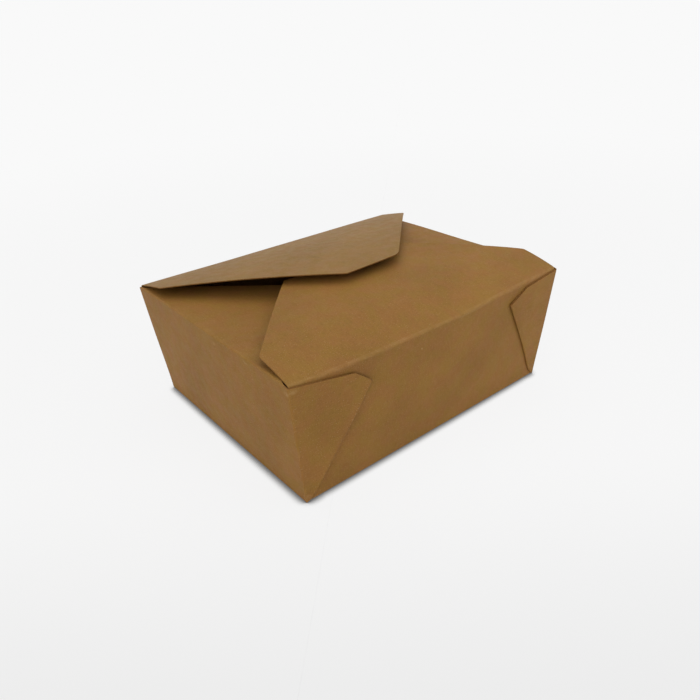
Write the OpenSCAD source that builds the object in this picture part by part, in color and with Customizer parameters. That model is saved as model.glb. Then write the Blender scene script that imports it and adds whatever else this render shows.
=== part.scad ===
// A folded takeaway box: one sheet of brown board makes the base, four leaning walls, a folded
// gusset at each corner and the four top flaps. The back flap lies on top and lifts freely.
// The frame has its origin under the middle of the base, +X along the box and -Y to its front.

/* [Tub] */
// Length between the top corners
top_length = 170; // [150:1:190]
// Width between the top corners
top_width = 136; // [120:1:150]
// Length of the base
base_length = 158; // [140:1:175]
// Width of the base
base_width = 128; // [112:1:140]
// Height of the top corners above the table
height = 63; // [50:1:75]

/* [Board] */
// Thickness of the board
board = 0.45; // [0.3:0.05:0.6]
// Air between two layers that lie folded on each other
layer_gap = 0.12; // [0.08:0.01:0.2]
// Radius of the folds round the base, at the middle of the board
base_fold_radius = 0.5; // [0.4:0.05:1]
// Radius of the soft fold above the front wall
front_fold_radius = 1.5; // [0.8:0.1:2.5]
// Radius of the folds above the end walls
end_fold_radius = 0.9; // [0.6:0.1:1.5]

/* [Gussets] */
// Length of a gusset's top edge, measured along the wall
gusset_reach = 28; // [20:1:34]
// Fall of that top edge away from the corner, in degrees
gusset_fall = 10.5; // [6:0.5:14]
// How far below the top corner that edge starts
gusset_drop = 0.5; // [0.4:0.1:1]
// Fall of the cut that blunts the gusset's point, in degrees
gusset_cut = 36; // [28:1:45]
// Rounding of the gusset's free corners
gusset_round = 3; // [1:0.5:4]

/* [Front flap] */
// Depth along the board from its fold to its free edge
front_depth = 91; // [75:1:98]
// Distance along the board from its fold to its shoulders
front_shoulder = 22.5; // [15:0.5:30]
// How far each shoulder lies in from the corner
front_inset = 2; // [1:0.5:5]
// Length of its free edge
front_tip = 50; // [35:1:60]
// Its rise where it leaves the fold, in degrees
front_rise = 15.5; // [12:0.5:18]
// How far it bends back down along its depth, in degrees
front_bow = 31; // [24:1:36]

/* [Back flap] */
// Depth along the board from its fold to its free edge
back_depth = 91; // [75:1:98]
// Distance along the board from its fold to its shoulders
back_shoulder = 24; // [15:0.5:30]
// How far each shoulder lies in from the corner
back_inset = 1.5; // [1:0.5:5]
// Length of its free edge
back_tip = 36; // [30:1:50]
// Its rise where it leaves the fold, in degrees
back_rise = 17.5; // [16:0.5:22]
// How far it bends back down along its depth, in degrees
back_bow = 18; // [10:1:22]
// Clearance between the flap's fold and the top of the back wall
hinge_gap = 0.2; // [0.15:0.05:0.3]
// How far the flap's side stands in from the corner, clear of the end wall's fold
back_clear = 1.6; // [1.4:0.1:3]

/* [End flaps] */
// Depth along the board from the fold to the free edge
end_depth = 62; // [48:1:66]
// Distance along the board from the fold to the shoulders
end_shoulder = 12; // [8:1:18]
// How far each side lies in from the corner at the fold
end_root = 5; // [4:0.5:7]
// How far each shoulder lies in from the corner
end_inset = 12; // [10:0.5:15]
// Length of the free edge
end_tip = 36; // [28:1:48]
// Rise of the left flap where it leaves its fold, in degrees
left_rise = -3; // [-6:0.5:0]
// How far it bends back down along its depth, in degrees
left_bow = 4; // [2:1:8]
// Rise of the right flap where it leaves its fold, in degrees
right_rise = 5; // [3:0.5:6]
// How far it bends back down along its depth, in degrees
right_bow = 10; // [8:1:14]

/* [Flap corners] */
// Rounding of the shoulders and of the tip corners
flap_round = 2; // [1:0.5:4]

/* [Hidden] */
kraft = [0.58, 0.44, 0.28];
kraft_back = [0.60, 0.48, 0.34];
// Facets of each rod that stands for a crease
$fn = 32;
// Straight pieces that draw a fold, the length of a flap and a rounded corner
fold_steps = 6;
flap_steps = 16;
round_steps = 5;
// Crease rods stay this far inside the faces that they join
crease_ease = 0.01;
// Air between a fold's end and the corner
corner_clear = 0.6;

// Step from one folded layer to the next, and from the long wall to a gusset's outer layer
layer = board + layer_gap;
wrap = 2 * layer;
// Height of the base's middle surface, and the rise of the walls above it
floor_z = board / 2;
rise = height - floor_z;
// Lean of the long walls and of the end walls, and their lengths up the slope
long_lean = atan((top_width - base_width) / 2 / rise);
end_lean = atan((top_length - base_length) / 2 / rise);
long_slope = rise / cos(long_lean);
end_slope = rise / cos(end_lean);
// Places of the long walls' middle surface at the base and at the top fold
long_base_y = base_width / 2 - wrap / cos(long_lean);
long_top_y = top_width / 2 - wrap / cos(long_lean);
// A long wall stops short of the corner by half the end wall, the gap and its own return fold
return_r = (board + layer) / 2;
edge_inset = board / 2 + layer_gap + return_r;
// Lean of the corner edge as drawn on a long wall and on an end wall
long_edge_lean = atan((top_length - base_length) / 2 / long_slope);
end_edge_lean = atan((top_width - base_width) / 2 / end_slope);
// The web between two walls is folded along its middle, so its crease halves the web's angle
half_web = (90 - long_edge_lean - end_edge_lean) / 2;

// Length that a fold of radius r and the given turn takes off each straight piece
function fold_trim(r, turn) = r * tan(turn / 2);

// Walks along the middle of the board. Each move is [length, turn, steps],
// and each point [x, z, heading].
function walk(p, moves, k = 0, j = 0) =
    k >= len(moves) ? [p] :
    let(
        step = moves[k][0] / moves[k][2],
        turn = moves[k][1] / moves[k][2],
        chord = turn == 0 ? step : 2 * step / (turn * PI / 180) * sin(turn / 2),
        q = [p[0] + chord * cos(p[2] + turn / 2), p[1] + chord * sin(p[2] + turn / 2), p[2] + turn],
        done = j + 1 >= moves[k][2]
    )
    concat([p], walk(q, moves, done ? k + 1 : k, done ? 0 : j + 1));

function beside(p, d) = [p[0] - d * sin(p[2]), p[1] + d * cos(p[2])];

// The board's section along a path
module section(path) {
    n = len(path);
    polygon(concat(
        [for (p = path) beside(p, board / 2)],
        [for (i = [n - 1:-1:0]) beside(path[i], -board / 2)]
    ));
}

// Draws the section in the YZ plane and carries it along X
module strip(path, width) {
    rotate([90, 0, 90])
        linear_extrude(width, center = true)
            section(path);
}

function unit(v) = v / norm(v);
function turned(v, a) = [v[0] * cos(a) - v[1] * sin(a), v[0] * sin(a) + v[1] * cos(a)];

// The points that round corner b between its neighbours a and c
function rounded_corner(a, b, c, r) =
    r == 0 ? [b] :
    let(
        u = unit(a - b),
        v = unit(c - b),
        half = acos(u * v) / 2,
        centre = b + unit(u + v) * r / sin(half),
        start = b + u * r / tan(half) - centre,
        side = cross(u, v) > 0 ? -1 : 1
    )
    [for (j = [0:round_steps]) centre + turned(start, side * j * (180 - 2 * half) / round_steps)];

function rounded(points, radii) =
    let(n = len(points))
    [
        for (i = [0:n - 1])
            each rounded_corner(points[(i + n - 1) % n], points[i], points[(i + 1) % n], radii[i])
    ];

// Distance covered on the level by a length s of a bent flap
function reach(s, slope, bow, depth) =
    depth / (bow * PI / 180) * (sin(slope) - sin(slope - bow * s / depth));

// A flap seen from above, with its fold on the X axis and its free edge towards +Y. The fold runs
// nearly to the corners, and past its width fold_r the flap's sides go from root_half over the
// shoulders to the tip.
module flap_outline(fold_half, fold_r, root_half, shoulder, tip) {
    polygon(rounded(
        [
            [-fold_half, -fold_r], [fold_half, -fold_r], [fold_half, fold_r], [root_half, fold_r],
            shoulder, tip,
            [-tip[0], tip[1]], [-shoulder[0], shoulder[1]],
            [-root_half, fold_r], [-fold_half, fold_r]
        ],
        [0, 0, 0, 0, flap_round, flap_round, flap_round, flap_round, 0, 0]
    ));
}

// The path of a wall from the base's edge up to where its top fold begins
function wall_path(base_y, lean, slope, top_trim) =
    let(turn = 90 - lean, trim = fold_trim(base_fold_radius, turn))
    walk([base_y - trim, floor_z, 0], [
        [base_fold_radius * turn * PI / 180, turn, fold_steps],
        [slope - trim - top_trim, 0, 1]
    ]);

// The path of a top fold and its flap, from where the wall's path ends
function flap_path(start, radius, lean, slope, bow, depth) =
    let(turn = 90 + lean - slope, trim = fold_trim(radius, turn))
    walk(start, [
        [radius * turn * PI / 180, turn, fold_steps],
        [depth - trim, bow, flap_steps]
    ]);

function end_of(path) = path[len(path) - 1];

front_turn = 90 + long_lean - front_rise;
front_trim = fold_trim(front_fold_radius, front_turn);
front_wall = wall_path(long_base_y, long_lean, long_slope, front_trim);
back_wall = wall_path(long_base_y, long_lean, long_slope, board / 2 + hinge_gap);

module base_panel() {
    long_trim = fold_trim(base_fold_radius, 90 - long_lean);
    end_trim = fold_trim(base_fold_radius, 90 - end_lean);
    size = [base_length - 2 * end_trim, 2 * (long_base_y - long_trim), board];
    translate([-size[0] / 2, -size[1] / 2, 0])
        cube(size);
}

// Keeps what lies between two leaning side edges, given their places at the base and at the top
module between_edges(base_half, top_half) {
    grow = (top_half - base_half) / rise;
    low = base_half - grow * floor_z;
    high = top_half + grow * floor_z;
    intersection() {
        children();
        rotate([90, 0, 0])
            linear_extrude(2 * top_width + 2 * top_length, center = true)
                polygon([[-low, 0], [low, 0], [high, height + floor_z], [-high, height + floor_z]]);
    }
}

// Each wall below is drawn towards +Y and then turned to its side of the box
module long_wall(path) {
    between_edges(base_length / 2 - edge_inset, top_length / 2 - edge_inset)
        strip(path, top_length + base_length);
}

module end_wall(slope, bow) {
    turn = 90 + end_lean - slope;
    trim = fold_trim(end_fold_radius, turn);
    path = wall_path(base_length / 2, end_lean, end_slope, trim);
    between_edges(base_width / 2, top_width / 2)
        strip(path, top_width + base_width);
    end_flap(end_of(path), slope, bow);
}

// The flaps fold inwards, so their outlines run from the top fold towards -Y
module end_flap(start, slope, bow) {
    path = flap_path(start, end_fold_radius, end_lean, slope, bow, end_depth);
    intersection() {
        strip(path, top_width);
        translate([0, top_length / 2, 0])
            mirror([0, 1, 0])
                linear_extrude(2 * height)
                    flap_outline(
                        top_width / 2 - corner_clear,
                        end_fold_radius,
                        top_width / 2 - end_root,
                        [top_width / 2 - end_inset, reach(end_shoulder, slope, bow, end_depth)],
                        [end_tip / 2, reach(end_depth, slope, bow, end_depth)]
                    );
    }
}

module front_flap() {
    start = end_of(front_wall);
    path = flap_path(start, front_fold_radius, long_lean, front_rise, front_bow, front_depth);
    shoulder_reach = reach(front_shoulder, front_rise, front_bow, front_depth);
    intersection() {
        strip(path, top_length);
        translate([0, long_top_y, 0])
            mirror([0, 1, 0])
                linear_extrude(2 * height)
                    flap_outline(
                        top_length / 2 - corner_clear,
                        front_fold_radius,
                        top_length / 2 - corner_clear,
                        [top_length / 2 - front_inset, shoulder_reach],
                        [front_tip / 2, reach(front_depth, front_rise, front_bow, front_depth)]
                    );
    }
}

// A crease between two points, as a rod that fills layers of board lying on each other
module crease(from, to, radius) {
    along = to - from;
    translate(from)
        rotate([0, acos(along[2] / norm(along)), atan2(along[1], along[0])])
            cylinder(h = norm(along), r = radius - crease_ease);
}

// Draws on the plane of a gusset's outer layer: X along the wall, Y up its slope, Z outwards
module on_long_side() {
    translate([0, -base_width / 2, floor_z])
        rotate([90 + long_lean, 0, 0])
            children();
}

// Where the line through p along u meets the line through q along v
function meet(p, u, q, v) = p + u * cross(q - p, v) / cross(u, v);

// The gusset at the left of a long side. It is the web between two walls, folded double.
module gusset() {
    foot = [-base_length / 2, 0];
    edge = unit([-top_length / 2, long_slope] - foot);
    top = [-top_length / 2, long_slope] - edge * gusset_drop;
    inwards = turned(edge, -90);
    // The free fold is half round, so the flat layers stop short of it by its radius
    fold = turned(edge, -half_web);
    fold_line = foot + turned(fold, 90) * return_r;
    // The inner layer returns to the wall just inside the end wall
    inner_line = foot + inwards * edge_inset;
    fall = [cos(gusset_fall), -sin(gusset_fall)];
    cut = [cos(gusset_cut), -sin(gusset_cut)];
    blunt = top + fall * gusset_reach / cos(gusset_fall);
    point = meet(fold_line, fold, blunt, cut);
    outer_foot = meet(foot, edge, fold_line, fold);
    inner_foot = meet(fold_line, fold, inner_line, edge);
    inner_top = meet(inner_line, edge, top, fall);
    on_long_side() {
        linear_extrude(board, center = true)
            polygon(rounded([outer_foot, top, blunt, point], [0, 0, gusset_round, 0]));
        translate([0, 0, -layer])
            linear_extrude(board, center = true)
                polygon(rounded([inner_foot, inner_top, blunt, point], [0, 0, gusset_round, 0]));
        // The free fold between the two layers
        crease(
            [each inner_foot + fold * layer, -layer / 2],
            [each point - fold * board, -layer / 2],
            return_r
        );
        // The return fold between the inner layer and the wall
        crease(
            [each inner_foot + edge * layer, -1.5 * layer],
            [each inner_top - edge * board, -1.5 * layer],
            return_r
        );
    }
}

module corner_edge() {
    foot = [-base_length / 2, -base_width / 2, floor_z];
    top = [-top_length / 2, -top_width / 2, height];
    crease(foot + unit(top - foot) * base_fold_radius, top, board / 2);
}

module box_body() {
    color(kraft) {
        base_panel();
        rotate(180)
            long_wall(front_wall);
        rotate(180)
            front_flap();
        long_wall(back_wall);
        rotate(90)
            end_wall(left_rise, left_bow);
        rotate(-90)
            end_wall(right_rise, right_bow);
        for (x = [0, 1], y = [0, 1])
            mirror([x, 0, 0])
                mirror([0, y, 0]) {
                    gusset();
                    corner_edge();
                }
    }
}

module back_flap() {
    path = walk([long_top_y, height, 180 - back_rise], [[back_depth, back_bow, flap_steps]]);
    shoulder_reach = reach(back_shoulder, back_rise, back_bow, back_depth);
    color(kraft_back)
        intersection() {
            strip(path, top_length);
            translate([0, long_top_y, 0])
                mirror([0, 1, 0])
                    linear_extrude(2 * height)
                        flap_outline(
                            top_length / 2 - back_clear,
                            board,
                            top_length / 2 - back_clear,
                            [top_length / 2 - back_inset, shoulder_reach],
                            [back_tip / 2, reach(back_depth, back_rise, back_bow, back_depth)]
                        );
        }
}

box_body();
back_flap();
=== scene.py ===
import math
from functools import partial

import bmesh
import bpy
import numpy as np
from mathutils import Matrix, Vector, noise


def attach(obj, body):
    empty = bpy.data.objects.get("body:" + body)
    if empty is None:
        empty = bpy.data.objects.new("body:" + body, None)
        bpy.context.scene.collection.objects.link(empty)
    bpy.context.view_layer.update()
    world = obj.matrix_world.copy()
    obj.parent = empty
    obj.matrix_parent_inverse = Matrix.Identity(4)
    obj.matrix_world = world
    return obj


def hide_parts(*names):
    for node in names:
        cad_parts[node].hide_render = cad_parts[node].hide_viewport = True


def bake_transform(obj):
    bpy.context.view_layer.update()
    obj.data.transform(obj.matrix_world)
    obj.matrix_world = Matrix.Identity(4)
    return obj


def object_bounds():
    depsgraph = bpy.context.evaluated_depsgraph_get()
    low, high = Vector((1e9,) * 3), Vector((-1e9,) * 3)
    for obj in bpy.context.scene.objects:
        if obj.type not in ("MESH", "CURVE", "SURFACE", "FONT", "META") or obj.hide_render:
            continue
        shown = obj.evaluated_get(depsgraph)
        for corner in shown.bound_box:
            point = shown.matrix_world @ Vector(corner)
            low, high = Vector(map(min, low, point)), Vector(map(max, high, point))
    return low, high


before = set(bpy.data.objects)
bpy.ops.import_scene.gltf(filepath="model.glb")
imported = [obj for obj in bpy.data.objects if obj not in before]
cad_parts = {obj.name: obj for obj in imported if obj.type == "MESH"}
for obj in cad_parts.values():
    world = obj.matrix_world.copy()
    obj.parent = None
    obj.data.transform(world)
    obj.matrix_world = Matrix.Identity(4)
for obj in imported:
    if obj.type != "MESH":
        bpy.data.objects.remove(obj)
cad_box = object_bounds()

# THE TUB
# Base and four leaning walls of brown kraft board, die-cut in one blank with the flaps, creased and folded up.
# The end walls wrap round the corners, so the long walls lie two layers of board further in.
# Lengths are in millimetres, and heights are from the table.
MM = 0.001
BOARD = 0.45
# One layer at a glued corner: the board, and the glue and air behind it
LAYER = 0.57
HEIGHT = 63.0
BASE_HALF = (79.0, 64.0)
TOP_HALF = (85.0, 68.0)
LEAN_OUT = (TOP_HALF[0] - BASE_HALF[0], TOP_HALF[1] - BASE_HALF[1])
# The middle of the base's board, and the walls' rise from there to their folds
FLOOR_Z = BOARD / 2
RISE = HEIGHT - FLOOR_Z
BASE_CROWN = 0.35
# How far the middle of an end wall and of a long wall bellies out
END_BELLY = 0.6
LONG_BELLY = 0.5
# The corners' tips and the end walls' straight part stop this far below the top
CORNER_DROP = 0.9
# The folded layers come together towards the foot of each corner over this length
FOOT_EASE = 4.0
# Air, board and fold that keep a long wall's side edge off the end wall
SIDE_GAP = 0.75
# A gusset's free fold leans this far along the wall for each millimetre up it. Clear of that fold the long wall's
# foot comes out by a share of the two layers, over a length that is shortest at the foot and grows up the wall.
FREE_FOLD_LEAN = 0.73
FOOT_OUT = 0.8
FOOT_OUT_LENGTH, FOOT_OUT_GAIN, FOOT_OUT_LONGEST = 4.0, 0.5, 10.0
# Shares of a wall's height, and of its half length either way from its middle, at which its mesh is drawn
WALL_ROWS = (0, 0.012, 0.035, 0.12, 0.27, 0.43, 0.59, 0.74, 0.87, 0.945, 0.982, 1)
LONG_SHARES = (0, 0.15, 0.3, 0.45, 0.6, 0.74, 0.86, 0.945, 0.986, 1)
END_SHARES = (0, 0.25, 0.5, 0.72, 0.87, 0.95, 0.985, 1)
long_columns, end_columns = ([-s for s in reversed(shares[1:])] + list(shares)
                             for shares in (LONG_SHARES, END_SHARES))
long_lean = math.atan(LEAN_OUT[1] / RISE)
slope_length = RISE / math.cos(long_lean)
corner_top_share = (RISE - CORNER_DROP) / RISE


def colour(red, green, blue):
    """A colour as seen, 0 to 255, in the linear values that a shader takes."""
    seen = (c / 255 for c in (red, green, blue))
    return tuple(c / 12.92 if c < 0.04045 else ((c + 0.055) / 1.055) ** 2.4 for c in seen) + (1.0,)


def feed(tree, socket, value):
    """Links another node's output to this socket, or sets the socket to a fixed value."""
    if isinstance(value, bpy.types.NodeSocket):
        tree.links.new(value, socket)
    else:
        socket.default_value = value


def tree_maths(tree, kind, *values):
    """A sum of this kind on numbers and other nodes' outputs."""
    node = tree.nodes.new("ShaderNodeMath")
    node.operation = kind
    for socket, value in zip(node.inputs, values):
        feed(tree, socket, value)
    return node.outputs[0]


def tree_levels(tree, value, low, high, to_low=0.0, to_high=1.0):
    """A value that goes smoothly from one number to another, as the given one goes from low to high."""
    node = tree.nodes.new("ShaderNodeMapRange")
    node.interpolation_type = "SMOOTHSTEP"
    for socket, number in zip(("From Min", "From Max", "To Min", "To Max"), (low, high, to_low, to_high)):
        node.inputs[socket].default_value = number
    tree.links.new(value, node.inputs["Value"])
    return node.outputs[0]


def kraft(name, warm, yellow, worn, roughness, fibre_depth, gloss=0.1, scuffs_and_glints=(), smudges=()):
    """Kraft board: two brown tones in soft clouds, long fibres, light and dark flecks, paler worn places and
    painted glints.
    A scuff, painted glint or smudge is its place on the blank, its half sizes in millimetres, and its strength."""
    board = bpy.data.materials.new(name)
    board.use_nodes = True
    tree = board.node_tree
    nodes, links = tree.nodes, tree.links
    maths, levels = partial(tree_maths, tree), partial(tree_levels, tree)
    shader = nodes["Principled BSDF"]
    shader.inputs["Specular IOR Level"].default_value = gloss
    blank = nodes.new("ShaderNodeUVMap")
    blank.uv_map = "blank"

    def grain(across, along, turn=0.0, detail=2.0):
        """Noise on the flat blank, with patches of this size in millimetres."""
        stretch = nodes.new("ShaderNodeMapping")
        stretch.inputs["Rotation"].default_value[2] = math.radians(turn)
        stretch.inputs["Scale"].default_value = (1 / (across * MM), 1 / (along * MM), 1)
        pattern = nodes.new("ShaderNodeTexNoise")
        pattern.inputs["Scale"].default_value = 1
        pattern.inputs["Detail"].default_value = detail
        links.new(blank.outputs[0], stretch.inputs["Vector"])
        links.new(stretch.outputs[0], pattern.inputs["Vector"])
        return pattern.outputs["Fac"]

    def spot(x, y, across, along, strength):
        """A soft-edged mark on the blank, from 0 outside it to its strength in the middle."""
        shift = nodes.new("ShaderNodeMapping")
        shift.inputs["Scale"].default_value = (1 / (across * MM), 1 / (along * MM), 0)
        shift.inputs["Location"].default_value = (-x / across, -y / along, 0)
        reach = nodes.new("ShaderNodeVectorMath")
        reach.operation = "LENGTH"
        links.new(blank.outputs[0], shift.inputs["Vector"])
        links.new(shift.outputs[0], reach.inputs[0])
        return levels(reach.outputs["Value"], 1.0, 0.1, 0.0, strength)

    def mix(share, a, b):
        """A colour that goes from a to b with the share."""
        node = nodes.new("ShaderNodeMix")
        node.data_type = "RGBA"
        links.new(share, node.inputs["Factor"])
        for socket, value in zip([i for i in node.inputs if i.type == "RGBA"], (a, b)):
            feed(tree, socket, value)
        return next(o for o in node.outputs if o.type == "RGBA")

    tone = mix(levels(grain(9, 9, 20, 3), 0.36, 0.64), warm, yellow)
    drift = levels(grain(38, 30), 0.3, 0.7, 0.93, 1.05)
    fibres = maths("MULTIPLY", levels(grain(0.45, 3.4, 8), 0.3, 0.7, 0.95, 1.05),
                   levels(grain(2.6, 0.4, 24), 0.3, 0.7, 0.955, 1.045))
    specks = levels(grain(0.55, 0.7, 0, 1), 0.29, 0.35, 0.8, 1.0)
    streaks = levels(grain(1.1, 42, 0, 2), 0.3, 0.7, 0.985, 1.015)
    shade = drift
    for layer in (fibres, specks, streaks, *(maths("SUBTRACT", 1.0, spot(*mark)) for mark in smudges)):
        shade = maths("MULTIPLY", shade, layer)
    shaded = nodes.new("ShaderNodeVectorMath")
    shaded.operation = "SCALE"
    links.new(tone, shaded.inputs[0])
    links.new(shade, shaded.inputs["Scale"])
    rubbed = nodes.new("ShaderNodeAttribute")
    rubbed.attribute_name = "worn"
    wear = maths("MULTIPLY", levels(rubbed.outputs["Fac"], 0.25, 1.0),
                 levels(grain(5, 1.6, 0, 3), 0.3, 0.65, 0.25, 1.0))
    flecks = levels(grain(0.42, 0.5, 40, 0), 0.715, 0.75)
    pale = maths("MAXIMUM", maths("MULTIPLY", wear, 0.3), maths("MULTIPLY", flecks, 0.5))
    rough_patch = levels(grain(1.1, 0.9, 10, 3), 0.36, 0.6, 0.2, 1.0)
    # Scuffs, and painted glints, pale the colour within their spots
    for mark in scuffs_and_glints:
        pale = maths("MAXIMUM", pale, maths("MULTIPLY", spot(*mark), rough_patch))
    links.new(mix(pale, shaded.outputs[0], worn), shader.inputs["Base Color"])
    links.new(levels(grain(5, 5, 0, 3), 0.3, 0.7, roughness - 0.05, roughness + 0.06), shader.inputs["Roughness"])
    bump = nodes.new("ShaderNodeBump")
    bump.inputs["Strength"].default_value = 0.6
    bump.inputs["Distance"].default_value = fibre_depth * MM
    hollows = maths("MULTIPLY", grain(6, 6), 2.0)
    relief = maths("ADD", grain(0.5, 3.0, 8), maths("ADD", grain(2.6, 0.5, 24), hollows))
    links.new(relief, bump.inputs["Height"])
    links.new(bump.outputs[0], shader.inputs["Normal"])
    return board


WARM = colour(150, 106, 56)
YELLOW = colour(147, 109, 52)
WORN = colour(184, 148, 102)
# Where the box was knocked: at its front left corner, down that corner's edge, at its foot, and on the end wall.
# The first two marks of the last row, on the left front gusset's free fold, are painted glints.
SCUFFS_AND_GLINTS = (
    (-139.2, -66.6, 1.6, 2.6, 0.42), (-136.0, -67.9, 3.4, 0.55, 0.36), (-104.5, -65.9, 8.0, 0.7, 0.25),
    (-81.6, -63.7, 2.2, 1.2, 0.35), (-139.5, -10.7, 1.2, 1.8, 0.45), (-140.6, -37.9, 0.9, 2.2, 0.45),
    (-116.3, -34.8, 0.55, 0.55, 0.9), (-112.0, -38.8, 0.5, 0.5, 0.8), (-13.1, -119.4, 0.6, 0.6, 0.8),
)
board_outside = kraft("kraft_outside", WARM, YELLOW, WORN, 0.58, 0.05, scuffs_and_glints=SCUFFS_AND_GLINTS)
board_inside = kraft("kraft_inside", colour(143, 102, 56), colour(140, 102, 52), WORN, 0.46, 0.03)
# The cut edges are partly painted shade: darker than the raw board's edge, so that their lit rims read as the
# dark lines along the gussets' edges
board_edge_painted_dark = kraft("kraft_cut_edge_painted_shade", colour(128, 87, 45), colour(124, 87, 42), WORN, 0.75, 0.08)

# The carton's panels are gathered here as places, flat places on the blank, and wear, and welded at the end
carton = {"places": [], "blank": [], "worn": [], "faces": [], "crisp": []}


def grid_faces(rows, columns, first=0):
    """Four-cornered faces of a grid whose points are numbered row by row from the first."""
    corners = (first + i * columns + j for i in range(rows - 1) for j in range(columns - 1))
    return [(k, k + 1, k + 1 + columns, k + columns) for k in corners]


def add_panel(places, blank, worn, outwards, seen_at=None):
    """Adds a grid of control points. Outwards is the way its outer face looks, at the grid's middle or at the
    row and column that seen_at gives."""
    places = np.asarray(places, float)
    rows, columns = places.shape[:2]
    faces = grid_faces(rows, columns, len(carton["places"]))
    r, c = seen_at or (min(rows // 2, rows - 2), min(columns // 2, columns - 2))
    normal = np.cross(places[r, c + 1] - places[r, c], places[r + 1, c] - places[r, c])
    carton["faces"].extend(faces if normal @ np.asarray(outwards, float) > 0 else [f[::-1] for f in faces])
    carton["places"].extend(places.reshape(-1, 3))
    carton["blank"].extend(np.asarray(blank, float).reshape(-1, 2))
    carton["worn"].extend(np.broadcast_to(worn, (rows, columns)).reshape(-1))


def half_size(axis, up):
    """Half the box's length (axis 0) or width (axis 1), at a share of the way up its walls."""
    return BASE_HALF[axis] + LEAN_OUT[axis] * up


def foot_ease(distance):
    """How far two layers have parted, from 0 at the foot of a corner to 1 past the ease length."""
    t = min(1.0, max(0.0, distance / FOOT_EASE))
    return t * (2 - t)


def fold_wear(shares, reach=0.03):
    """Wear of rows or columns drawn at these shares, strongest at both ends."""
    return np.clip(1 - (1 - np.abs(np.asarray(shares, float))) / reach, 0, 1)


def wall_inset(from_corner, up, share):
    """How far a long wall lies behind the gussets' face: two layers, and less along its foot clear of them."""
    layers = 2 * LAYER * foot_ease(math.hypot(from_corner, up))
    length = min(FOOT_OUT_LONGEST, FOOT_OUT_LENGTH + FOOT_OUT_GAIN * up)
    clear = min(1.0, max(0.0, (from_corner - FREE_FOLD_LEAN * up) / length))
    return layers * (1 - FOOT_OUT * clear * clear * (3 - 2 * clear) * (1 - share))


def base_place(u, v):
    """A place on the base, with u and v from -1 to 1 along and across it."""
    x = BASE_HALF[0] * u
    half_width = BASE_HALF[1] - wall_inset(BASE_HALF[0] - abs(x), 0.0, 0.0)
    return (x, v * half_width, FLOOR_Z + BASE_CROWN * (1 - u * u) * (1 - v * v))


def end_wall_place(share, v, side):
    """A place on an end wall: share up its height, v across it, side -1 left or 1 right."""
    up = share * corner_top_share
    belly = END_BELLY * (1 - v * v) * math.sin(math.pi * share)
    return (side * (half_size(0, up) + belly), v * half_size(1, up), FLOOR_Z + RISE * up)


for side in (-1, 1):
    add_panel(
        [[end_wall_place(f, v, side) for v in end_columns] for f in WALL_ROWS],
        [[(side * (BASE_HALF[0] + f * slope_length), v * half_size(1, f)) for v in end_columns]
         for f in WALL_ROWS],
        np.maximum.outer(fold_wear([1 - f for f in WALL_ROWS]), fold_wear(end_columns)) * 0.15,
        (side, 0, 0),
    )

add_panel(
    [[base_place(u, v) for u in long_columns] for v in end_columns],
    [[(BASE_HALF[0] * u, v * BASE_HALF[1]) for u in long_columns] for v in end_columns],
    np.maximum.outer(fold_wear(end_columns), fold_wear(long_columns)),
    (0, 0, -1),
)

# How far the front fold sags below the corner tips and bulges forward, read along it from the left corner
FOLD_STATIONS = (0, 8, 21, 34, 60, 85, 105, 123, 144, 162, 170)
FOLD_SAG = (0.2, 1.2, 2.2, 2.7, 2.9, 2.8, 2.1, 1.5, 0.9, 0.5, 0.3)
FOLD_BULGE = (0, 0.1, 0.4, 0.8, 1.0, 1.0, 0.9, 0.8, 0.5, 0.1, 0)
# The front wall bulges forward with its fold from this share of its height
BULGE_FROM = 0.78
# The long walls' straight part stops this far below their folds
FRONT_FOLD_TRIM = 1.1
BACK_FOLD_TRIM = 0.55


def front_fold_shift(x):
    """Sag and forward bulge of the front fold at a place along it."""
    station = x + TOP_HALF[0]
    return np.interp(station, FOLD_STATIONS, FOLD_SAG), np.interp(station, FOLD_STATIONS, FOLD_BULGE)


def long_wall_top(x, side):
    """Height of the straight part of a long wall below its fold, and how far its top bulges."""
    if side > 0:
        return HEIGHT - BACK_FOLD_TRIM, 0.0
    sag, bulge = front_fold_shift(x)
    from_tip = foot_ease(TOP_HALF[0] - SIDE_GAP - abs(x))
    return HEIGHT - sag - CORNER_DROP - (FRONT_FOLD_TRIM - CORNER_DROP) * from_tip, bulge


def long_wall_place(share, u, side):
    """A place on a long wall: share up its height, u along it, side -1 front or 1 back."""
    top_z, bulge = long_wall_top(u * TOP_HALF[0], side)
    up = share * (top_z - FLOOR_Z) / RISE
    climbed = share * slope_length
    x = u * (half_size(0, up) - SIDE_GAP * foot_ease(climbed))
    inset = wall_inset(half_size(0, up) - abs(x), climbed, share)
    forward = bulge * max(0.0, (share - BULGE_FROM) / (1 - BULGE_FROM)) ** 2
    belly = LONG_BELLY * (1 - u * u) * math.sin(math.pi * share)
    return (x, side * (half_size(1, up) - inset + forward + belly), FLOOR_Z + RISE * up)


for side in (-1, 1):
    add_panel(
        [[long_wall_place(f, u, side) for u in long_columns] for f in WALL_ROWS],
        [[(u * half_size(0, f), side * (BASE_HALF[1] + f * slope_length)) for u in long_columns]
         for f in WALL_ROWS],
        np.maximum.outer(fold_wear([1 - f for f in WALL_ROWS]), fold_wear(long_columns, 0.0001)) * 0.8,
        (0, side, 0),
    )

# THE CORNER GUSSETS
# The web of board between two walls, folded double along its middle and glued flat on the outside of the
# long wall. The hand that folded this box left the right front one shorter and a little off the wall.
FOLD_ROUND = 0.3
# A ray runs this many degrees beside each fold and each corner of the outline, to keep it crisp
NEAR_FOLD = 1.1
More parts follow.
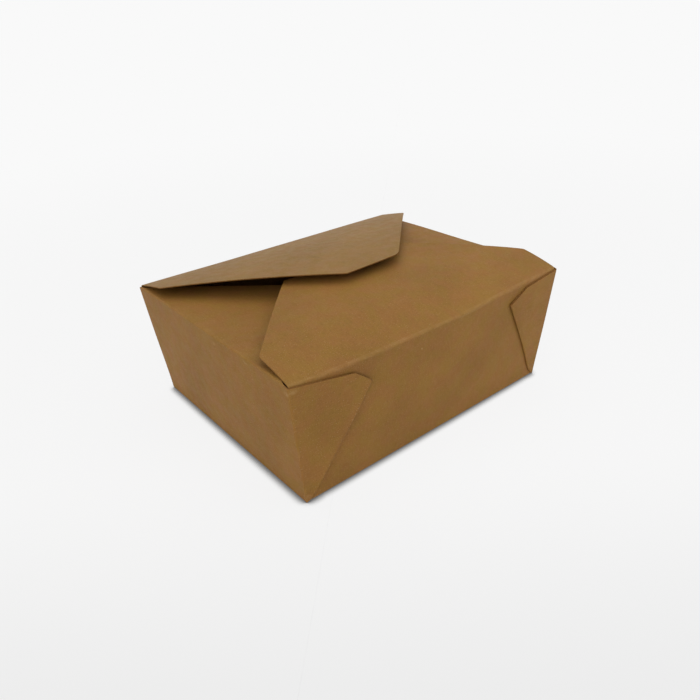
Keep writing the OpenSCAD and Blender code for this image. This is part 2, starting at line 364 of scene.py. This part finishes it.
# Outline of each gusset as seen on its wall, along it from the corner's foot and up its slope: the blunt end
# of its top edge, and the point where the cut meets the free fold. Then how far it stands off the wall at its
# free fold, how far its two layers gape, and over how many degrees either way its blunt end is rounded.
GUSSET_SHAPES = {
    (-1, -1): ((26.4, 55.8), (35.5, 48.6), 2.1, 0.2, 1.6),
    (1, -1): ((18.8, 59.3), (30.8, 53.1), 0.5, 0.9, 1.2),
    (-1, 1): ((23.5, 57.2), (33.0, 51.0), 0.5, 0.3, 2.0),
    (1, 1): ((21.5, 57.5), (31.2, 51.8), 0.6, 0.2, 1.6),
}
# Of that gape, the outer layer moves this share outwards and the inner one this share inwards
OUTER_GAPE, INNER_GAPE = 0.8, -0.2
# Near its foot the doubled fold stands a little further from the corner, most at this height
FOOT_BOW = 2.0
FOOT_BOW_HEIGHT = 6.0
corner_edge = np.array([-LEAN_OUT[0], slope_length])
edge_angle = math.degrees(math.atan2(corner_edge[0], corner_edge[1]))
corner_tip = corner_edge * corner_top_share


def ray_reach(angle, blunt, point):
    """Length of a gusset's ray from its foot to its outline, for an angle from straight up the slope."""
    ray = np.array([math.sin(math.radians(angle)), math.cos(math.radians(angle))])
    for a, b in ((corner_tip, np.array(blunt)), (np.array(blunt), np.array(point))):
        edge = b - a
        cross = ray[0] * edge[1] - ray[1] * edge[0]
        reach = (a[0] * edge[1] - a[1] * edge[0]) / cross
        if (a[0] * ray[1] - a[1] * ray[0]) / cross <= 1.0001:
            break
    return reach


for (x_side, y_side), (blunt, point, stand_off, gape, blunt_round) in GUSSET_SHAPES.items():
    blunt_angle, point_angle = (math.degrees(math.atan2(*corner)) for corner in (blunt, point))
    before = blunt_angle - blunt_round - edge_angle
    outer = [edge_angle, edge_angle + NEAR_FOLD, edge_angle + before * 0.35, edge_angle + before * 0.7,
             blunt_angle - blunt_round, blunt_angle, blunt_angle + blunt_round, point_angle - NEAR_FOLD]
    inner = [point_angle - NEAR_FOLD, blunt_angle + blunt_round, blunt_angle - blunt_round,
             edge_angle + before * 0.5]
    foot = np.array([x_side * BASE_HALF[0], y_side * BASE_HALF[1], FLOOR_Z])
    along = np.array([-x_side, 0.0, 0.0])
    up = np.array([0.0, y_side * math.sin(long_lean), math.cos(long_lean)])
    out = np.array([0.0, y_side * math.cos(long_lean), -math.sin(long_lean)])
    blank_edge = math.atan2(LEAN_OUT[1], slope_length)
    grid, flat = [], []
    for share in WALL_ROWS:
        climbed = share * slope_length
        ease = foot_ease(climbed)
        bowed = climbed / FOOT_BOW_HEIGHT
        bowed = FOOT_BOW * bowed * math.exp(1 - bowed)
        inner_start = edge_angle + math.degrees(SIDE_GAP * ease / max(climbed, 1.0))
        # Each ray's angle, its depth behind the outer layer, and whether it lies on the layer turned in
        rays = [(angle, 0.0, False) for angle in outer] + [(point_angle + 0.2, LAYER / 2, False)]
        rays += [(angle, LAYER, True) for angle in inner + [inner_start + NEAR_FOLD / 2]]
        row, row_flat = [], []
        for angle, depth, turned in rays:
            reach = ray_reach(angle, blunt, point) * share
            a = math.radians(angle)
            inset = (angle - edge_angle) / (point_angle - edge_angle)
            apart = 4 * gape * inset * (1 - inset) * share ** 4
            lift = stand_off * inset * inset * math.sqrt(share) + (INNER_GAPE if turned else OUTER_GAPE) * apart
            bow = bowed * (angle - edge_angle) / (point_angle - edge_angle)
            row.append(foot + along * (reach * math.sin(a) + bow) + up * reach * math.cos(a)
                       + out * (lift - depth * ease))
            swing = math.radians(angle - edge_angle)
            turn = blank_edge - (math.radians(2 * (point_angle - edge_angle)) - swing if turned else swing)
            row_flat.append((x_side * (BASE_HALF[0] + reach * math.cos(turn)),
                             y_side * (BASE_HALF[1] + reach * math.sin(turn))))
        if share == 0:
            row = [foot] * len(row)
        # The return fold joins the inner layer to the long wall's side edge
        wall_edge = np.array(long_wall_place(share, x_side, y_side))
        row += [(row[-1] + wall_edge) / 2 - along * FOLD_ROUND * ease, wall_edge]
        row_flat += [row_flat[-1], (x_side * half_size(0, share), y_side * (BASE_HALF[1] + climbed))]
        grid.append(row)
        flat.append(row_flat)
    blunt_column, free_fold_column = 5, 8
    carton["crisp"] += [foot, grid[-1][blunt_column], grid[-1][free_fold_column]]
    wear = np.zeros(len(grid[0]))
    wear[0], wear[free_fold_column] = 0.15, 0.3
    add_panel(grid, flat, wear, out, seen_at=(5, 2))

# THE FLAPS ON THE CARTON
# Three of the blank's four top flaps. Both end flaps are folded in first and lie lowest; the front flap springs
# up over them in a shallow arch. A flap is drawn flat, then nodes bend it to the arc of the springy board.
LONG_FOLD_Y = TOP_HALF[1] - 2 * LAYER
FOLD_STEPS = 4
# Flat length of board in each step round the front fold, and round the other folds
FRONT_FOLD_STEP = 0.5
FOLD_STEP = 0.4
# Named inputs of the bending nodes, with the value of those that a flap may leave out
BEND_LENGTHS = {"Fold distance": 0.0, "Fold height": 0.0, "Half length": 0.0, "First stretch": 1.0,
                "Sag fade": 0.018}
BEND_ANGLES = {"Side": 0.0, "Rise": 0.0, "Rise change": 0.0, "Turn": 0.0, "Turn change": 0.0,
               "Later turn": 0.0, "Later change": 0.0, "Later curve": 0.0}


def outline(root, shoulder, tip, depth, corner=(0.0, 0.0)):
    """Half width of a flap by its depth: root, (depth, half) of its shoulder, and its tip to the left and right
    of the middle. Corner rounds the tip."""
    def half_width(s, u):
        end, radius = (tip[1], corner[1]) if u > 0 else (tip[0], corner[0])
        if s <= shoulder[0]:
            half = root + (shoulder[1] - root) * s / shoulder[0]
        else:
            half = shoulder[1] + (end - shoulder[1]) * (s - shoulder[0]) / (depth - shoulder[0])
        if radius and s > depth - radius:
            half -= radius - math.sqrt(max(0.0, radius ** 2 - (s - depth + radius) ** 2))
        return half
    return half_width


def flat_flap(columns, rows, half_width, root_drop):
    """A flap's control mesh, flat on its blank, with its fold on the X axis and its free edge towards +Y."""
    points = [(u * half_width(s, u) * MM, s * MM, 0) for s in rows for u in columns]
    mesh = bpy.data.meshes.new("flap_blank")
    mesh.from_pydata(points, [], grid_faces(len(rows), len(columns)))
    drops = np.array([root_drop(x / MM) for x, _, _ in points]) * MM
    for k, attribute in enumerate(("sag", "bulge")):
        mesh.attributes.new(attribute, "FLOAT", "POINT").data.foreach_set("value", drops[:, k].astype(np.float32))
    flap = bpy.data.objects.new("flap_blank", mesh)
    bpy.context.scene.collection.objects.link(flap)
    return flap


def bending_nodes():
    """Bends a flat flap: the board leaves its fold at a rise, turns back down at a steady rate, and past its
    first stretch goes on at a later rate. Each may change along the fold."""
    tree = bpy.data.node_groups.new("bend_flap", "GeometryNodeTree")
    tree.is_modifier = True
    face = tree.interface
    face.new_socket("Geometry", in_out="INPUT", socket_type="NodeSocketGeometry")
    for name, usual in (BEND_LENGTHS | BEND_ANGLES).items():
        face.new_socket(name, in_out="INPUT", socket_type="NodeSocketFloat").default_value = usual
    face.new_socket("Board", in_out="INPUT", socket_type="NodeSocketMaterial")
    face.new_socket("Geometry", in_out="OUTPUT", socket_type="NodeSocketGeometry")
    nodes, links = tree.nodes, tree.links
    given = nodes.new("NodeGroupInput").outputs
    maths = partial(tree_maths, tree)

    def attribute(name):
        node = nodes.new("GeometryNodeInputNamedAttribute")
        node.data_type = "FLOAT"
        node.inputs["Name"].default_value = name
        return node.outputs["Attribute"]

    def arc(start, rate, length):
        """Run, climb and last heading of a stretch that starts at this heading and turns down at this rate."""
        heading = maths("SUBTRACT", start, maths("MULTIPLY", rate, length))
        run = maths("DIVIDE", maths("SUBTRACT", maths("SINE", start), maths("SINE", heading)), rate)
        climb = maths("DIVIDE", maths("SUBTRACT", maths("COSINE", heading), maths("COSINE", start)), rate)
        return run, climb, heading

    flat = nodes.new("ShaderNodeSeparateXYZ")
    links.new(nodes.new("GeometryNodeInputPosition").outputs[0], flat.inputs[0])
    x, depth = flat.outputs[0], flat.outputs[1]
    along = maths("DIVIDE", x, given["Half length"])
    rise = maths("MULTIPLY_ADD", given["Rise change"], along, given["Rise"])
    turn = maths("MULTIPLY_ADD", given["Turn change"], along, given["Turn"])
    curved = maths("MULTIPLY", maths("MULTIPLY", along, along), given["Later curve"])
    later = maths("ADD", maths("MULTIPLY_ADD", given["Later change"], along, given["Later turn"]), curved)
    first_run, first_climb, heading = arc(rise, turn, maths("MINIMUM", depth, given["First stretch"]))
    beyond = maths("MAXIMUM", maths("SUBTRACT", depth, given["First stretch"]), 0.0)
    later_run, later_climb, _ = arc(heading, later, beyond)
    # The fold's own sag and bulge die out into the flap
    faded = maths("POWER", maths("DIVIDE", depth, given["Sag fade"]), 2.0)
    fade = maths("EXPONENT", maths("MULTIPLY", faded, -1.0))
    run = maths("SUBTRACT", maths("ADD", first_run, later_run), maths("MULTIPLY", attribute("bulge"), fade))
    climb = maths("SUBTRACT", maths("ADD", first_climb, later_climb), maths("MULTIPLY", attribute("sag"), fade))
    bent = nodes.new("ShaderNodeCombineXYZ")
    links.new(x, bent.inputs[0])
    links.new(maths("SUBTRACT", run, given["Fold distance"]), bent.inputs[1])
    links.new(maths("ADD", climb, given["Fold height"]), bent.inputs[2])
    swing = nodes.new("ShaderNodeVectorRotate")
    swing.rotation_type = "Z_AXIS"
    links.new(bent.outputs[0], swing.inputs["Vector"])
    links.new(given["Side"], swing.inputs["Angle"])
    placed = nodes.new("GeometryNodeSetPosition")
    links.new(given["Geometry"], placed.inputs["Geometry"])
    links.new(swing.outputs[0], placed.inputs["Position"])
    real = nodes.new("GeometryNodeRealizeInstances")
    links.new(placed.outputs[0], real.inputs[0])
    finish = nodes.new("GeometryNodeSetMaterial")
    links.new(real.outputs[0], finish.inputs["Geometry"])
    links.new(given["Board"], finish.inputs["Material"])
    links.new(finish.outputs[0], nodes.new("NodeGroupOutput").inputs[0])
    return tree


flap_nodes = bending_nodes()


def keep_shape(piece):
    """Makes what a piece's modifiers give its own plain mesh, and takes them off."""
    bpy.context.view_layer.update()
    shaped = bpy.data.meshes.new_from_object(piece.evaluated_get(bpy.context.evaluated_depsgraph_get()))
    piece.modifiers.clear()
    piece.data = shaped


def sprung_flap(columns, rows, half_width, settings, root_drop=lambda x: (0.0, 0.0)):
    """The points of a flap, in millimetres as a grid, once the bending nodes have run on it with these settings.
    Lengths are in millimetres, angles in degrees, and a turn is in degrees for each metre of board. Root drop
    gives the sag and bulge of its fold at a place along it."""
    flap = flat_flap(columns, rows, half_width, root_drop)
    modifier = flap.modifiers.new("bend", "NODES")
    modifier.node_group = flap_nodes
    for item in flap_nodes.interface.items_tree:
        if item.in_out == "OUTPUT":
            continue
        if item.name in settings:
            value = settings[item.name]
            modifier[item.identifier] = value * MM if item.name in BEND_LENGTHS else math.radians(value)
        elif item.name == "Board":
            modifier[item.identifier] = board_outside
    keep_shape(flap)
    grid = np.array([v.co[:] for v in flap.data.vertices], float).reshape(len(rows), len(columns), 3) / MM
    bpy.data.objects.remove(flap)
    return grid


def fold_over(wall_row, apex_row, flap_row):
    """Rows that carry the board from the top of a wall, round under the apex, to a flap's first row."""
    wall_row, apex_row = np.array(wall_row), np.array(apex_row)
    return [(1 - t) ** 2 * wall_row + 2 * t * (1 - t) * apex_row + t * t * flap_row
            for t in (k / FOLD_STEPS for k in range(FOLD_STEPS + 1))]


def flap_wear(at_fold, rows, columns):
    """Wear of a flap, at its fold and along its cut edges."""
    return np.maximum.outer([at_fold] + [0] * (len(rows) - 2) + [0.4], fold_wear(columns, 0.01) * 0.4)


FRONT = {"root": 84.3, "shoulder": (20.47, 83.93), "tip": (34.74, 34.74), "depth": 74.71}
FRONT_ROWS = (1.1, 2.2, 5.5, 11, 16, 19.5, 20.47, 21.4, 25, 30, 36, 44, 53, 61, 68, 72.4, 74, 74.71)
front_grid = sprung_flap(long_columns, FRONT_ROWS, outline(**FRONT), {
    "Fold distance": LONG_FOLD_Y, "Fold height": HEIGHT, "Half length": TOP_HALF[0],
    "Rise": 18.01, "Rise change": 1.46, "Turn": 483.2, "Turn change": -6.0,
    "First stretch": 30.4, "Later turn": 113.8, "Later change": -16.1, "Later curve": -217.6,
}, front_fold_shift)
front_wall_top = [long_wall_place(1, u, -1) for u in long_columns]
front_apex = []
for wall, flap in zip(front_wall_top, front_grid[0]):
    sag, bulge = front_fold_shift(flap[0])
    front_apex.append(((wall[0] + flap[0]) / 2, -LONG_FOLD_Y - bulge, HEIGHT - sag))
wall_blank_y = BASE_HALF[1] + slope_length
add_panel(
    fold_over(front_wall_top, front_apex, front_grid[0]),
    [[(TOP_HALF[0] * u, -wall_blank_y - FRONT_FOLD_STEP * k) for u in long_columns]
     for k in range(FOLD_STEPS + 1)],
    0.7, (0, -1, 1),
)
add_panel(
    front_grid,
    [[(p[0], -wall_blank_y - s) for p in row] for s, row in zip(FRONT_ROWS, front_grid)],
    flap_wear(0.45, FRONT_ROWS, long_columns), (0, 0, 1),
)

END = {"root": 63.0, "shoulder": (12.0, 56.0), "tip": (18.0, 18.0), "depth": 62.0}
END_ROWS = (0.9, 2.0, 5.5, 10.4, 12, 13.6, 20, 32, 44, 54, 60, 61.3, 62)
# For the left and the right flap, its rise at the fold and its whole turn from there to its free edge, in degrees
END_SPRING = {-1: (-2.5, 1.0), 1: (5.0, 10.0)}
for side, (rise, whole_turn) in END_SPRING.items():
    end_grid = sprung_flap(end_columns, END_ROWS, outline(**END), {
        "Fold distance": TOP_HALF[0], "Fold height": HEIGHT, "Half length": TOP_HALF[1],
        "Rise": rise, "Turn": whole_turn / (END["depth"] * MM), "Side": 90 * side,
    })
    # Turning the blank to its side of the box runs its columns the other way on the left
    if end_grid[0, 0, 1] > end_grid[0, -1, 1]:
        end_grid = end_grid[:, ::-1]
    end_wall_top = [end_wall_place(1, v, side) for v in end_columns]
    end_apex = [(side * TOP_HALF[0], (w[1] + g[1]) / 2, HEIGHT) for w, g in zip(end_wall_top, end_grid[0])]
    blank_x = BASE_HALF[0] + slope_length
    add_panel(
        fold_over(end_wall_top, end_apex, end_grid[0]),
        [[(side * (blank_x + FOLD_STEP * k), TOP_HALF[1] * v) for v in end_columns]
         for k in range(FOLD_STEPS + 1)],
        0.5, (side, 0, 1),
    )
    add_panel(
        end_grid,
        [[(side * (blank_x + s), p[1]) for p in row] for s, row in zip(END_ROWS, end_grid)],
        flap_wear(0.3, END_ROWS, end_columns), (0, 0, 1),
    )

# Folding and handling leave the panels uneven in waves of this size, by this much, and less below this height.
# The seed is fixed, because Blender's noise otherwise takes a new one from the clock at each run.
HANDLED_WAVE = 48.0
HANDLED_BY = 0.45
HANDLED_ABOVE = 12.0
noise.seed_set(2840)


def handled(place):
    """How far handling has moved this place of a panel."""
    low = min(1.0, max(0.0, place[2] / HANDLED_ABOVE))
    wave = noise.noise_vector(Vector(place) / HANDLED_WAVE, noise_basis="PERLIN_ORIGINAL")
    return np.array(wave) * HANDLED_BY * low


def board_mesh(name, places, blank, worn, faces, crisp=()):
    """Welds panels to one sheet in the middle of the board, with its wear, its flat map and its crisp corners."""
    low, high = (np.array(corner) / MM for corner in cad_box)

    def settle(points):
        return np.clip([p + handled(p) for p in np.asarray(points, float)], low + BOARD / 2, high - BOARD / 2)

    crisp = settle(crisp) if len(crisp) else ()
    mesh = bpy.data.meshes.new(name)
    mesh.from_pydata((settle(places) * MM).tolist(), [], faces)
    flat_map = mesh.uv_layers.new(name="blank")
    for loop in mesh.loops:
        flat_map.data[loop.index].uv = (np.array(blank[loop.vertex_index]) * MM).tolist()
    mesh.attributes.new("worn", "FLOAT", "POINT").data.foreach_set("value", np.asarray(worn, np.float32))
    work = bmesh.new()
    work.from_mesh(mesh)
    bmesh.ops.remove_doubles(work, verts=work.verts, dist=0.006 * MM)
    bmesh.ops.dissolve_degenerate(work, edges=work.edges, dist=0.001 * MM)
    # The corners' feet and the gussets' cut corners hold their place when the sheet is smoothed
    held = work.verts.layers.float.new("crease_vert")
    for point in work.verts:
        if any((point.co / MM - Vector(corner)).length < 0.02 for corner in crisp):
            point[held] = 1.0
    work.to_mesh(mesh)
    work.free()
    return mesh


def give_thickness(mesh, name):
    """Smooths the control sheet, thickens it to the board, and returns it as a plain mesh object."""
    sheet = bpy.data.objects.new(name, mesh)
    bpy.context.scene.collection.objects.link(sheet)
    for material in (board_outside, board_inside, board_edge_painted_dark):
        mesh.materials.append(material)
    smooth = sheet.modifiers.new("smooth", "SUBSURF")
    smooth.levels = smooth.render_levels = 2
    smooth.uv_smooth = "NONE"
    smooth.boundary_smooth = "PRESERVE_CORNERS"
    thick = sheet.modifiers.new("board", "SOLIDIFY")
    thick.thickness = BOARD * MM
    thick.offset = 0
    thick.material_offset = 1
    thick.material_offset_rim = 2
    keep_shape(sheet)
    sheet.data.shade_smooth()
    # The cut edges stay square
    rim = np.array([p.material_index == 2 for p in sheet.data.polygons])
    sheet.data.polygons.foreach_set("use_smooth", ~rim)
    return sheet


carton_mesh = board_mesh("carton_sheet", **carton)
carton_board = give_thickness(carton_mesh, "carton_board")
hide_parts("box_body")
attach(carton_board, "carton")

# THE BACK FLAP
# The fourth top flap, of the same kraft board, on its own crease above the back wall. It lies loose on top of
# the others and is the one that lifts, so it is a piece of its own. Its arch is longer and even.
BACK = {"root": 84.2, "shoulder": (22.85, 83.28), "tip": (18.6, 15.5), "depth": 86.9, "corner": (3.0, 0.0)}
BACK_ROWS = (1.0, 2.4, 7, 14, 20, 21.9, 22.85, 23.8, 28, 36, 46, 56, 65.5, 74, 80.7, 84.3, 85.5, 86.4, 86.9)
# Its fold lies this far above the other folds
BACK_FOLD_LIFT = 0.2
# Seen from its own fold the flap's right is the box's left, so what changes along it changes sign
back_grid = sprung_flap(long_columns, BACK_ROWS, outline(**BACK), {
    "Fold distance": LONG_FOLD_Y, "Fold height": HEIGHT + BACK_FOLD_LIFT, "Half length": TOP_HALF[0],
    "Rise": 16.0, "Rise change": -1.08, "Turn": 187.2, "Turn change": 8.5, "Side": 180,
})
back_blank = [(p[0], wall_blank_y + s) for s, row in zip(BACK_ROWS, back_grid) for p in row]
back_mesh = board_mesh("back_flap_sheet", back_grid.reshape(-1, 3), back_blank,
                       flap_wear(0.6, BACK_ROWS, long_columns).reshape(-1),
                       grid_faces(len(BACK_ROWS), len(long_columns)))
back_board = give_thickness(back_mesh, "back_flap_board")
# The outermost flap. Its colours are a little paler and greyer than the rest: a painted sheen, the white
# surroundings reflected at its tilt.
back_board.data.materials[0] = kraft("kraft_top_flap_painted_sheen", colour(145, 108, 60), colour(142, 109, 56), WORN,
                                      0.56, 0.05, gloss=0.15, smudges=((-11.2, 182.3, 2.2, 7.5, 0.1),))
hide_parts("back_flap")
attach(back_board, "lid")

# THE BACK FLAP'S FOLD
# The narrow strip of the same board, creased by a rule in the die, that joins the back wall to its flap.
# It curves round from where it leaves the wall to where it meets the flap.
back_wall_top = [long_wall_place(1, u, 1) for u in long_columns]
flap_root = back_grid[0][::-1]
back_apex = [((w[0] + g[0]) / 2, LONG_FOLD_Y, HEIGHT) for w, g in zip(back_wall_top, flap_root)]
fold_rows = np.array(fold_over(back_wall_top, back_apex, flap_root))
fold_blank = [(p[0], wall_blank_y + FOLD_STEP * k) for k, row in enumerate(fold_rows) for p in row]
fold_mesh = board_mesh("back_fold_sheet", fold_rows.reshape(-1, 3), fold_blank, np.ones(len(fold_blank)),
                       grid_faces(*fold_rows.shape[:2]))
fold_board = give_thickness(fold_mesh, "back_fold_board")
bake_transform(fold_board)

# THE STUDIO
# A pale seamless paper floor, even white light from all round, a wide softbox overhead, a narrower one low at
# the left, a small one close by at the right front, and the camera where one sees such a box on a table.
scene = bpy.context.scene
PAPER_NEAR = colour(236, 236, 236)
PAPER_FAR = colour(249, 249, 249)
FLOOR_SIZE = 30.0
# Across the floor, the way that the camera looks
LOOKING = (0.616, 0.788, 0)


def background_share(tree):
    """1 where the camera, a reflection or clear material looks at the backdrop, and 0 for light on the box."""
    rays = tree.nodes.new("ShaderNodeLightPath").outputs
    share = rays["Is Camera Ray"]
    for kind in ("Is Glossy Ray", "Is Transmission Ray"):
        share = tree_maths(tree, "MAXIMUM", share, rays[kind])
    return share


def mix_shaders(tree, share, first, second):
    """A shader that goes from the first to the second with the share."""
    node = tree.nodes.new("ShaderNodeMixShader")
    for socket, value in zip(node.inputs, (share, first, second)):
        tree.links.new(value, socket)
    return node.outputs[0]


floor_mesh = bpy.data.meshes.new("floor")
floor_mesh.from_pydata([(-FLOOR_SIZE, -FLOOR_SIZE, 0), (FLOOR_SIZE, -FLOOR_SIZE, 0),
                        (FLOOR_SIZE, FLOOR_SIZE, 0), (-FLOOR_SIZE, FLOOR_SIZE, 0)], [], [(0, 1, 2, 3)])
floor = bpy.data.objects.new("floor", floor_mesh)
scene.collection.objects.link(floor)
paper = bpy.data.materials.new("studio_floor")
paper.use_nodes = True
floor_mesh.materials.append(paper)
tree = paper.node_tree
nodes, links = tree.nodes, tree.links
nodes.remove(nodes["Principled BSDF"])
real_paper = nodes.new("ShaderNodeBsdfDiffuse")
real_paper.inputs["Color"].default_value = (0.82, 0.82, 0.82, 1)
place = nodes.new("ShaderNodeTexCoord")
distance = nodes.new("ShaderNodeVectorMath")
distance.operation = "DOT_PRODUCT"
distance.inputs[1].default_value = LOOKING
from_middle = nodes.new("ShaderNodeVectorMath")
from_middle.operation = "LENGTH"
for measure in (distance, from_middle):
    links.new(place.outputs["Object"], measure.inputs[0])
# Painted shade: the paper that the camera sees is greyer near the front and whiter towards the back
towards_back = tree_levels(tree, distance.outputs["Value"], -0.235, -0.07)
# Far away the floor is the backdrop's own white, so that no horizon shows
far_off = tree_levels(tree, from_middle.outputs["Value"], 0.25, 0.9)
sweep = nodes.new("ShaderNodeValToRGB")
sweep.color_ramp.elements[0].color = PAPER_NEAR
sweep.color_ramp.elements[1].color = PAPER_FAR
links.new(tree_maths(tree, "MAXIMUM", towards_back, far_off), sweep.inputs[0])
# A painted contact shadow: ambient occlusion darkens the paper's glow in a dark line where the box meets the
# floor
contact = nodes.new("ShaderNodeAmbientOcclusion")
contact.inputs["Distance"].default_value = 0.006
contact.samples = 16
white = nodes.new("ShaderNodeEmission")
links.new(sweep.outputs[0], white.inputs["Color"])
links.new(tree_levels(tree, contact.outputs["AO"], 0.4, 0.9, 0.12, 1.0), white.inputs["Strength"])
# Near the box a share of real paper takes its shadow
shadow_share = tree_levels(tree, from_middle.outputs["Value"], 0.2, 0.8, 0.1, 0.0)
seen = mix_shaders(tree, shadow_share, white.outputs[0], real_paper.outputs[0])
surface = mix_shaders(tree, background_share(tree), real_paper.outputs[0], seen)
links.new(surface, nodes["Material Output"].inputs["Surface"])

world = bpy.data.worlds.new("studio")
scene.world = world
world.use_nodes = True
tree = world.node_tree
sky = tree.nodes["Background"]
sky.inputs["Color"].default_value = (1, 1, 1, 1)
sky.inputs["Strength"].default_value = 0.325
backdrop = tree.nodes.new("ShaderNodeBackground")
backdrop.inputs["Color"].default_value = PAPER_FAR
around = mix_shaders(tree, background_share(tree), sky.outputs[0], backdrop.outputs[0])
tree.links.new(around, tree.nodes["World Output"].inputs["Surface"])

for name, energy, tint, spread, seen_from in (
        ("overhead_softbox", 1.25, (1.0, 1.0, 1.0), 100, (0.1, -0.15, 1.0)),
        ("front_softbox", 0.8, (1.02, 1.0, 0.92), 40, (-0.8, -0.42, 0.42))):
    lamp = bpy.data.lights.new(name, "SUN")
    lamp.energy = energy
    lamp.color = tint
    lamp.angle = math.radians(spread)
    softbox = bpy.data.objects.new(name, lamp)
    softbox.rotation_euler = Vector(seen_from).to_track_quat("Z", "Y").to_euler()
    scene.collection.objects.link(softbox)

side_lamp = bpy.data.lights.new("side_softbox", "AREA")
side_lamp.energy = 0.18
side_lamp.color = (0.93, 0.98, 1.15)
side_lamp.size = 0.2
side_softbox = bpy.data.objects.new("side_softbox", side_lamp)
side_softbox.location = (0.31, -0.31, 0.26)
side_softbox.rotation_euler = Vector((0.24, -0.26, 0.22)).to_track_quat("Z", "Y").to_euler()
scene.collection.objects.link(side_softbox)

CAMERA_PLACE = Vector((-0.190246, -0.23954, 0.187945))
CAMERA_AIM = Vector((-0.003648, -0.00361, 0.022247))
CAMERA_ROLL = math.radians(-2.65)
lens = bpy.data.cameras.new("camera")
lens.lens = 32.443
lens.sensor_width = 36
lens.clip_start = 0.01
lens.clip_end = 200
camera = bpy.data.objects.new("camera", lens)
aim = (CAMERA_AIM - CAMERA_PLACE).to_track_quat("-Z", "Y").to_matrix().to_4x4()
camera.matrix_world = Matrix.Translation(CAMERA_PLACE) @ aim @ Matrix.Rotation(CAMERA_ROLL, 4, "Z")
scene.collection.objects.link(camera)
scene.camera = camera
scene.view_settings.view_transform = "Standard"
